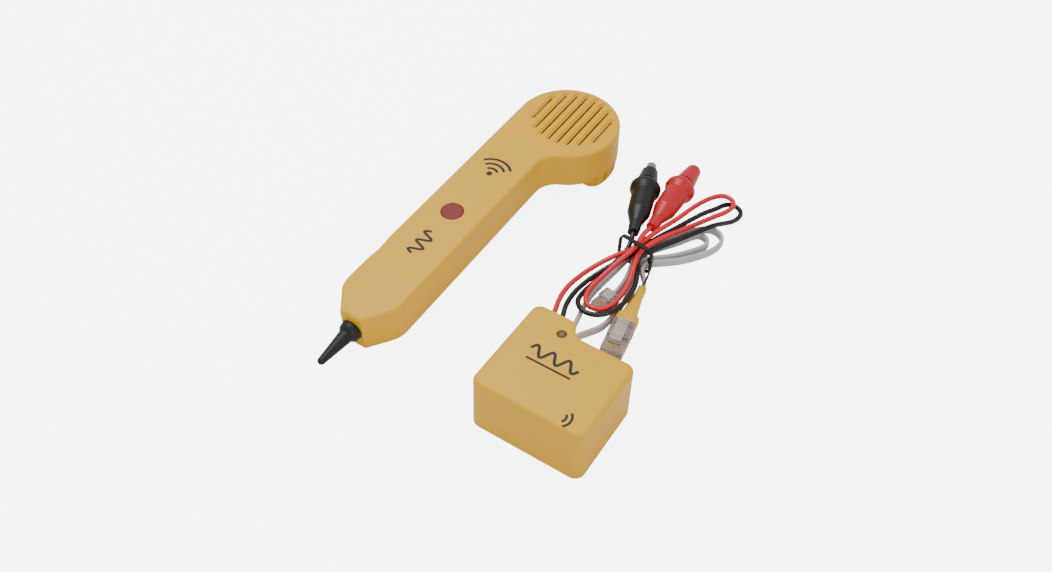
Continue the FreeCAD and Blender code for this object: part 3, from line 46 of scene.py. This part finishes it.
# ------------------------------------------------------------------------------- the routes
# Millimetres in the row frame, turned into metres where a lead is made.
CLIP_LIFT = 9.15
RED_ROUTE = [
    (21.0, -46.0, 13.0), (20.8, -37.5, 12.8), (18.2, -28.0, 11.4), (14.2, -17.0, 9.0),
    (12.6, -5.0, 7.4), (14.6, 7.0, 7.2), (18.8, 18.0, 8.6), (24.6, 27.5, 10.6),
    (30.3, 35.3, 11.3), (31.8, 47.0, 11.0), (34.4, 59.5, 10.0), (37.8, 73.0, 8.6),
    (39.4, 87.0, 6.4), (42.0, 98.0, 5.3), (46.8, 107.4, 5.2), (51.5, 110.0, 5.2),
    (56.4, 108.4, 5.2), (58.8, 103.7, 5.2), (57.3, 96.5, 5.6), (53.8, 88.5, 6.8),
    (49.2, 78.0, 7.5), (43.8, 66.5, 8.2), (38.8, 54.5, 9.7),
    (35.5, 44.6, 10.9), (33.4, 33.8, 11.4), (36.0, 24.0, 11.0),
    (39.4, 13.0, 9.4), (40.0, 2.0, 8.0), (38.6, -6.5, 7.2), (34.2, -11.6, 7.2),
    (28.2, -12.0, 7.2), (24.2, -7.4, 7.2), (23.2, 0.8, 7.5), (25.0, 9.5, 8.8), (27.8, 21.0, 11.8),
    (30.9, 31.0, 14.3), (30.9, 38.5, 14.7), (29.0, 48.0, 12.8), (28.9, 57.5, CLIP_LIFT)]
BLACK_ROUTE = [
    (27.6, -46.0, 13.0), (26.8, -37.5, 12.4), (23.0, -28.0, 10.2), (18.5, -17.5, 7.2),
    (16.8, -5.0, 5.2), (18.6, 7.0, 5.2), (22.8, 18.0, 6.7), (27.0, 27.0, 8.0),
    (30.3, 35.2, 8.25), (32.8, 45.0, 8.1), (35.6, 56.0, 7.3), (39.6, 67.0, 6.6),
    (43.4, 79.0, 6.0), (46.8, 91.0, 4.2), (49.8, 99.5, 2.0), (52.6, 107.0, 1.6),
    (57.3, 109.2, 1.6), (62.2, 107.4, 1.6), (64.4, 102.7, 1.6), (63.2, 95.6, 2.2), (60.2, 88.6, 4.6),
    (57.0, 81.5, 7.3), (51.9, 72.0, 7.3), (45.8, 59.5, 7.3),
    (39.4, 47.0, 8.0), (33.4, 33.9, 8.25), (38.3, 24.5, 8.2),
    (43.0, 13.5, 8.2), (44.2, 1.5, 8.2), (41.6, -10.0, 8.0), (35.2, -16.8, 8.2),
    (27.5, -17.3, 8.2), (21.8, -11.8, 6.8), (19.9, -2.0, 3.2), (20.6, 9.0, 1.7),
    (22.0, 20.0, 2.2), (23.6, 29.0, 3.8), (24.8, 36.0, 5.2), (24.6, 42.2, 7.8),
    (22.5, 48.0, CLIP_LIFT)]
NETWORK_ROUTE = [
    (32.8, -46.0, 13.0), (32.4, -37.5, 12.2), (30.2, -28.0, 8.2), (27.0, -18.0, 3.3),
    (24.9, -8.0, 2.7), (24.3, 2.0, 2.7), (25.1, 12.0, 2.7), (26.7, 24.0, 3.3),
    (28.0, 35.2, 4.2), (30.5, 45.0, 3.5), (36.5, 56.0, 2.7), (43.6, 68.0, 2.7),
    (49.4, 76.6, 2.7), (54.6, 81.4, 2.7), (61.0, 81.2, 2.7), (65.4, 76.0, 2.7),
    (64.4, 67.0, 2.7), (58.8, 57.2, 2.7), (51.4, 47.9, 2.7),
    (44.4, 41.0, 3.4), (39.6, 36.6, 3.95), (38.0, 31.6, 3.95), (39.8, 27.2, 4.0),
    (42.9, 24.2, 4.0), (45.0, 20.9, 4.0), (45.5, 17.2, 4.0)]
PHONE_ROUTE = [
    (35.8, -46.0, 13.0), (36.2, -37.5, 12.0), (38.2, -28.0, 7.4), (40.9, -18.0, 3.2),
    (41.8, -7.0, 2.7), (41.5, 5.0, 2.7), (39.4, 16.0, 2.7), (36.8, 25.0, 3.3),
    (34.4, 31.0, 3.95), (35.4, 36.6, 3.95), (40.0, 41.4, 3.5), (47.3, 49.2, 2.7), (54.6, 58.8, 2.7),
    (59.2, 67.2, 2.7), (58.3, 71.4, 2.7), (54.6, 73.8, 2.7), (50.3, 72.9, 2.7), (45.2, 62.2, 2.7),
    (39.7, 54.3, 2.7), (33.7, 44.0, 3.5), (30.6, 34.8, 4.2), (33.2, 25.0, 3.4),
    (35.2, 14.5, 3.3), (34.6, 5.2, 3.3)]
WIRE_R = 1.45 * MM
RIBBON_W = 5.0 * MM
RIBBON_T = 2.3 * MM

# The probe leans on its boss: its own frame is turned about X and lifted.
PROBE_PLACE = (-59.65 * MM, 89.9485 * MM, 0.6573 * MM)
PROBE_TILT = math.radians(2.6911)
HANDLE_TOP = 30.0 * MM           # in the probe's frame
GENERATOR_TOP = 32.5 * MM
INK_LIFT = 0.04 * MM             # printed marks stand this far off the plastic

# Finishes.
MOTTLE_SCALE = 60.0
MOTTLE_DETAIL = 3.0
ROUGHNESS_SPREAD = 0.06
GRAIN_SCALE = 1500.0
GRAIN_DEPTH = 0.2 * MM
SOFT_RADIUS = (0.003, 0.0015, 0.0006)    # how far red, green and blue spread inside soft plastic

# The leads' line and the flat cable's section.
LINE_STEPS = 8
SECTION_STEPS = 6
RIBBON_STEPS = 28
RIBBON_EDGE = 0.45               # power of |cos|: small is blunt sides
RIBBON_END = 0.8                 # power of |sin|
RIBBON_GROOVE = 0.16             # depth of the groove, as a share of half the thickness
RIBBON_GROOVE_W = 0.14           # its half width, as a share of half the cable's width

# Floor, light and camera.
FLOOR_HALF = 4.0
FLOOR_Z = -0.2 * MM
FLOOR_GLOW = 6.0                 # brightens the floor for the camera only
KEY_PLACE, KEY_SIZE, KEY_WATTS = (-0.35, 0.15, 0.95), 0.7, 5.5
FILL_PLACE, FILL_SIZE, FILL_WATTS = (0.8, -0.5, 0.7), 0.9, 2.6
SKY_STRENGTH = 0.62
CAMERA_PLACE = (183.7 * MM, -327.2 * MM, 393.3 * MM)
CAMERA_AHEAD = Vector((-0.3577, 0.5837, -0.7290))
LEVEL_RIGHT = Vector((0.8526, 0.5225, 0.0))
CAMERA_ROLL = math.radians(1.9)
CAMERA_LENS = 34.22              # focal length over a sensor of the width below
SENSOR_WIDTH = 36.0


# ---------------------------------------------------------------------------- materials
def srgb(red, green, blue):
    """Display colour 0..255 to the linear values of a shader."""
    def linear(value):
        value /= 255
        return value / 12.92 if value <= 0.04045 else ((value + 0.055) / 1.055) ** 2.4
    return (linear(red), linear(green), linear(blue), 1.0)


def material(name, colour, roughness, grain=0.0, metallic=0.0, coat=0.0, clear=0.0, mottle=0.04,
             subsurface=0.0):
    """A principled finish: slow mottling of the colour and roughness, and a fine grain in relief."""
    made = bpy.data.materials.new(name)
    made.use_nodes = True
    nodes, links = made.node_tree.nodes, made.node_tree.links
    shader = nodes["Principled BSDF"]
    place = nodes.new("ShaderNodeTexCoord")
    slow = nodes.new("ShaderNodeTexNoise")
    slow.inputs["Scale"].default_value = MOTTLE_SCALE
    slow.inputs["Detail"].default_value = MOTTLE_DETAIL
    links.new(place.outputs["Object"], slow.inputs["Vector"])
    shade = nodes.new("ShaderNodeMixRGB")
    shade.inputs["Color1"].default_value = [c * (1 - mottle) for c in colour[:3]] + [1.0]
    shade.inputs["Color2"].default_value = [min(1.0, c * (1 + mottle)) for c in colour[:3]] + [1.0]
    links.new(slow.outputs["Fac"], shade.inputs["Fac"])
    links.new(shade.outputs["Color"], shader.inputs["Base Color"])
    spread = nodes.new("ShaderNodeMapRange")
    spread.inputs["To Min"].default_value = max(0.02, roughness - ROUGHNESS_SPREAD)
    spread.inputs["To Max"].default_value = min(1.0, roughness + ROUGHNESS_SPREAD)
    links.new(slow.outputs["Fac"], spread.inputs["Value"])
    links.new(spread.outputs["Result"], shader.inputs["Roughness"])
    shader.inputs["Metallic"].default_value = metallic
    shader.inputs["Coat Weight"].default_value = coat
    shader.inputs["Transmission Weight"].default_value = clear
    shader.inputs["Subsurface Weight"].default_value = subsurface
    if subsurface:
        shader.inputs["Subsurface Radius"].default_value = SOFT_RADIUS
    if grain:
        fine = nodes.new("ShaderNodeTexNoise")
        fine.inputs["Scale"].default_value = GRAIN_SCALE
        links.new(place.outputs["Object"], fine.inputs["Vector"])
        relief = nodes.new("ShaderNodeBump")
        relief.inputs["Strength"].default_value = grain
        relief.inputs["Distance"].default_value = GRAIN_DEPTH
        links.new(fine.outputs["Fac"], relief.inputs["Height"])
        links.new(relief.outputs["Normal"], shader.inputs["Normal"])
    return made


FINISHES = {
    "tool_yellow": material("moulded yellow", srgb(250, 190, 0), 0.42, grain=0.25),
    "black_plastic": material("black plastic", srgb(13, 13, 14), 0.48, grain=0.3),
    "antenna_steel": material("drawn steel", srgb(190, 190, 190), 0.3, metallic=1.0),
    "button_red": material("button red", srgb(132, 16, 18), 0.38, grain=0.15),
    "part_black": material("small part black", srgb(13, 13, 14), 0.5),
    "plunger_grey": material("plunger grey", srgb(120, 120, 120), 0.5),
    "board_green": material("board green", srgb(30, 92, 52), 0.35, coat=0.4),
    "frame_steel": material("pressed steel", srgb(176, 176, 176), 0.34, metallic=1.0, grain=0.1),
    "thin_wire_insulation": material("thin wire red", srgb(150, 30, 30), 0.4),
    "battery_jacket": material("battery jacket", srgb(52, 54, 62), 0.35),
    "snap_black": material("snap black", srgb(13, 13, 14), 0.55),
    "led_clear": material("lamp lens", srgb(228, 188, 180), 0.12, clear=0.75),
    "grommet_rubber": material("grommet rubber", srgb(14, 14, 15), 0.62),
    "red_insulation": material("red insulation", srgb(240, 18, 40), 0.3, coat=0.25),
    "black_insulation": material("black insulation", srgb(11, 11, 12), 0.3, coat=0.25),
    "flat_cable_grey": material("flat cable grey", srgb(208, 200, 197), 0.38, coat=0.1, subsurface=0.1),
    "tie_black": material("tie black", srgb(12, 12, 13), 0.4),
    "red_boot_pvc": material("soft red", srgb(212, 14, 30), 0.34, coat=0.2, grain=0.1),
    "black_boot_pvc": material("soft black", srgb(15, 15, 16), 0.4, coat=0.15, grain=0.1),
    "clip_steel": material("plated clip steel", srgb(186, 182, 176), 0.32, metallic=1.0, grain=0.1),
    "boot_yellow": material("soft yellow", srgb(248, 188, 0), 0.4, grain=0.1),
    "plug_clear": material("clear plug", srgb(240, 228, 226), 0.1, clear=0.85),
    "contact_gold": material("contact gold", srgb(222, 184, 96), 0.25, metallic=1.0),
}
INK = material("printed ink", srgb(16, 13, 11), 0.45, mottle=0.02)

for entry in frame["record"]["subparts"]:
    finish = FINISHES[entry["material_slot"]]
    piece = NODES[entry["node"]]
    if not piece.material_slots:
        piece.data.materials.append(finish)
    for used in piece.material_slots:
        used.material = finish


# ------------------------------------------------------------------------------ making pieces
def mesh_piece(name, points, faces, finish, body, smooth=True):
    """A mesh object in the row frame, riding on a body."""
    data = bpy.data.meshes.new(name)
    data.from_pydata([tuple(float(c) for c in p) for p in points], [], faces)
    data.update()
    if smooth:
        data.polygons.foreach_set("use_smooth", [True] * len(data.polygons))
    data.materials.append(finish)
    made = bpy.data.objects.new(name, data)
    bpy.context.scene.collection.objects.link(made)
    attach(made, body)
    return made


def route_curve(name, route, radius):
    """The lead's line: a clamped quadratic NURBS with the route as its control points.

    Its section is a circle of that radius. It starts and ends on the first and last point and
    touches each run between two points at its middle.
    """
    data = bpy.data.curves.new(name, "CURVE")
    data.dimensions = "3D"
    line = data.splines.new("NURBS")
    line.points.add(len(route) - 1)
    for point, (x, y, z) in zip(line.points, route):
        point.co = (x * MM, y * MM, z * MM, 1.0)
    line.order_u = 3
    line.use_endpoint_u = True
    data.resolution_u = LINE_STEPS
    data.bevel_depth = radius
    data.bevel_resolution = SECTION_STEPS
    data.use_fill_caps = True
    made = bpy.data.objects.new(name, data)
    bpy.context.scene.collection.objects.link(made)
    return made


def round_lead(name, node, route, finish):
    """A round wire that stands for a lead of the frame."""
    made = route_curve(name, route, WIRE_R)
    made.data.materials.append(finish)
    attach(made, "generator")
    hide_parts(node)
    return made


def flat_lead(name, node, route, finish):
    """A flat cable on its edge, T = 2.3 mm thick and W = 5 mm tall.

    Section, for t from 0 to 2 pi, with u across the line in the table's plane and v along +Z:
    v = W/2 * sgn(sin t) * |sin t|^0.8
    u = T/2 * sgn(cos t) * |cos t|^0.45 * (1 - 0.16 * exp(-(v / (0.14 * W/2))^2))
    The last factor is a shallow groove along the middle of both sides.
    """
    line = route_curve(name + "_line", route, 0.0)
    bpy.context.view_layer.update()
    flat = bpy.data.meshes.new_from_object(line.evaluated_get(bpy.context.evaluated_depsgraph_get()))
    path = np.array([tuple(v.co) for v in flat.vertices])
    bpy.data.meshes.remove(flat)
    bpy.data.objects.remove(line)
    half_t, half_w = RIBBON_T / 2, RIBBON_W / 2
    turn = np.linspace(0, 2 * math.pi, RIBBON_STEPS, endpoint=False)
    across = half_t * np.sign(np.cos(turn)) * np.abs(np.cos(turn)) ** RIBBON_EDGE
    upward = half_w * np.sign(np.sin(turn)) * np.abs(np.sin(turn)) ** RIBBON_END
    across *= 1 - RIBBON_GROOVE * np.exp(-(upward / (RIBBON_GROOVE_W * half_w)) ** 2)
    ahead = np.gradient(path, axis=0)
    side = np.stack([ahead[:, 1], -ahead[:, 0], np.zeros(len(path))], axis=1)
    side /= np.linalg.norm(side, axis=1)[:, None]
    rings = path[:, None, :] + side[:, None, :] * across[None, :, None]
    rings[:, :, 2] += upward[None, :]
    count, around = rings.shape[:2]
    faces = [(i * around + j, i * around + (j + 1) % around,
              (i + 1) * around + (j + 1) % around, (i + 1) * around + j)
             for i in range(count - 1) for j in range(around)]
    faces += [tuple(range(around)), tuple(reversed(range((count - 1) * around, count * around)))]
    made = mesh_piece(name, rings.reshape(-1, 3), faces, finish, "generator")
    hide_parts(node)
    return made, path


def on_handle(x, y):
    """A point of the handle's top face, given in the probe's frame, in the row frame."""
    z = HANDLE_TOP + INK_LIFT
    return (PROBE_PLACE[0] + x, PROBE_PLACE[1] + y * math.cos(PROBE_TILT) - z * math.sin(PROBE_TILT),
            PROBE_PLACE[2] + y * math.sin(PROBE_TILT) + z * math.cos(PROBE_TILT))


def on_generator(x, y):
    """A point of the generator's top face, in the row frame."""
    return (x, y, GENERATOR_TOP + INK_LIFT)


def stroke(points, width):
    """A flat band of that width along 2-D points: (left edge, right edge)."""
    points = np.array(points, float)
    ahead = np.gradient(points, axis=0)
    side = np.stack([-ahead[:, 1], ahead[:, 0]], axis=1)
    side /= np.linalg.norm(side, axis=1)[:, None]
    return points + side * width / 2, points - side * width / 2


def printed_sign(name, strokes, place, body):
    """Ink bands laid on a flat face; place turns 2-D metres into the row frame."""
    points, faces = [], []
    for line, width in strokes:
        left, right = stroke(line, width)
        first = len(points)
        points += [place(x, y) for x, y in left] + [place(x, y) for x, y in right]
        n = len(line)
        faces += [(first + n + i, first + n + i + 1, first + i + 1, first + i) for i in range(n - 1)]
    return mesh_piece(name, points, faces, INK, body, smooth=False)


def arc(x, y, radius, start, end, steps=24):
    """Arc of a circle round (x, y), angles in degrees."""
    angles = np.radians(np.linspace(start, end, steps))
    return np.stack([x + radius * np.cos(angles), y + radius * np.sin(angles)], axis=1)


def wave(x, y, length, height, turns, heading, steps=90):
    """y = height/2 * sin(2 pi turns t), laid along a heading in degrees, centred on (x, y)."""
    t = np.linspace(0, 1, steps)
    along, off = (t - 0.5) * length, height / 2 * np.sin(2 * math.pi * turns * t)
    c, s = math.cos(math.radians(heading)), math.sin(math.radians(heading))
    return np.stack([x + along * c - off * s, y + along * s + off * c], axis=1)


# ------------------------------------------------------------------------------------ leads
red = round_lead("red_wire", "red_lead", RED_ROUTE, FINISHES["red_insulation"])
black = round_lead("black_wire", "black_lead", BLACK_ROUTE, FINISHES["black_insulation"])
network, network_path = flat_lead("network_cable", "network_lead", NETWORK_ROUTE,
                                  FINISHES["flat_cable_grey"])
phone, phone_path = flat_lead("phone_cable", "phone_lead", PHONE_ROUTE,
                              FINISHES["flat_cable_grey"])


# -------------------------------------------------------------------------------- printed signs
SIGN_STROKE = 1.6 * MM
SOUND_PLACE = (0.0, -62.0 * MM)          # the sound sign's centre, in the probe's frame
SOUND_RADII = (4.4 * MM, 8.2 * MM, 12.0 * MM)
SOUND_DOT_R, SOUND_DOT_STROKE = 0.9 * MM, 1.7 * MM
HANDLE_WAVE = (0.0, -125.0 * MM, 18 * MM, 7 * MM, 2.5, 90)      # centre, length, height, turns, heading
TOP_WAVE = (43.0 * MM, -70.0 * MM, 26 * MM, 6 * MM, 3, 0)
TOP_BAR = [(31 * MM, -76 * MM), (43 * MM, -76 * MM), (55 * MM, -76 * MM)]
TOP_BAR_STROKE = 1.2 * MM
SMALL_SOUND_PLACE = (62.0 * MM, -96.0 * MM)
SMALL_SOUND_RADII = (2.8 * MM, 5.4 * MM)
SMALL_STROKE = 1.3 * MM

printed_sign("handle_sound_sign",
             [(arc(*SOUND_PLACE, radius, 40, 140), SIGN_STROKE) for radius in SOUND_RADII]
             + [(arc(*SOUND_PLACE, SOUND_DOT_R, 0, 360), SOUND_DOT_STROKE)], on_handle, "probe")
printed_sign("handle_wave_sign", [(wave(*HANDLE_WAVE), SIGN_STROKE)], on_handle, "probe")
printed_sign("generator_wave_sign",
             [(wave(*TOP_WAVE), SIGN_STROKE), (TOP_BAR, TOP_BAR_STROKE)], on_generator, "generator")
printed_sign("generator_sound_sign",
             [(arc(*SMALL_SOUND_PLACE, radius, -50, 50), SMALL_STROKE)
              for radius in SMALL_SOUND_RADII], on_generator, "generator")

# ----------------------------------------------------------------------------- floor and light
def square(name, half, z, finish):
    """A level square round the origin."""
    data = bpy.data.meshes.new(name)
    corners = [(-half, -half, z), (half, -half, z), (half, half, z), (-half, half, z)]
    data.from_pydata(corners, [], [(0, 1, 2, 3)])
    data.materials.append(finish)
    made = bpy.data.objects.new(name, data)
    bpy.context.scene.collection.objects.link(made)
    return made


paper = material("pale floor", (0.9, 0.9, 0.9, 1.0), 0.8, mottle=0.0)
seen = paper.node_tree.nodes.new("ShaderNodeLightPath")
glow = paper.node_tree.nodes.new("ShaderNodeMath")
glow.operation = "MULTIPLY"
glow.inputs[1].default_value = FLOOR_GLOW
paper.node_tree.links.new(seen.outputs["Is Camera Ray"], glow.inputs[0])
paper_shader = paper.node_tree.nodes["Principled BSDF"]
paper_shader.inputs["Emission Color"].default_value = (1.0, 1.0, 1.0, 1.0)
paper.node_tree.links.new(glow.outputs["Value"], paper_shader.inputs["Emission Strength"])
floor = square("floor", FLOOR_HALF, FLOOR_Z, paper)


def lamp(name, place, size, watts):
    """A square soft light at a place, facing the origin."""
    data = bpy.data.lights.new(name, "AREA")
    data.shape = "SQUARE"
    data.size = size
    data.energy = watts
    made = bpy.data.objects.new(name, data)
    made.location = place
    made.rotation_euler = (-Vector(place)).to_track_quat("-Z", "Y").to_euler()
    bpy.context.scene.collection.objects.link(made)
    return made


lamp("key", KEY_PLACE, KEY_SIZE, KEY_WATTS)
lamp("fill", FILL_PLACE, FILL_SIZE, FILL_WATTS)
world = bpy.data.worlds.new("studio")
world.use_nodes = True
world.node_tree.nodes["Background"].inputs["Color"].default_value = (1.0, 1.0, 1.0, 1.0)
world.node_tree.nodes["Background"].inputs["Strength"].default_value = SKY_STRENGTH
bpy.context.scene.world = world

# ----------------------------------------------------------------------------------- camera
level_up = LEVEL_RIGHT.cross(CAMERA_AHEAD)
right = LEVEL_RIGHT * math.cos(CAMERA_ROLL) + level_up * math.sin(CAMERA_ROLL)
upward = level_up * math.cos(CAMERA_ROLL) - LEVEL_RIGHT * math.sin(CAMERA_ROLL)
turned = Matrix((right, upward, -CAMERA_AHEAD)).transposed().to_4x4()
view = bpy.data.cameras.new("camera")
view.lens = CAMERA_LENS
view.sensor_width = SENSOR_WIDTH
camera = bpy.data.objects.new("camera", view)
camera.matrix_world = Matrix.Translation(CAMERA_PLACE) @ turned
bpy.context.scene.collection.objects.link(camera)
bpy.context.scene.camera = camera

# ---------------------------------------------------------------------------------- update the view layer
bpy.context.view_layer.update()
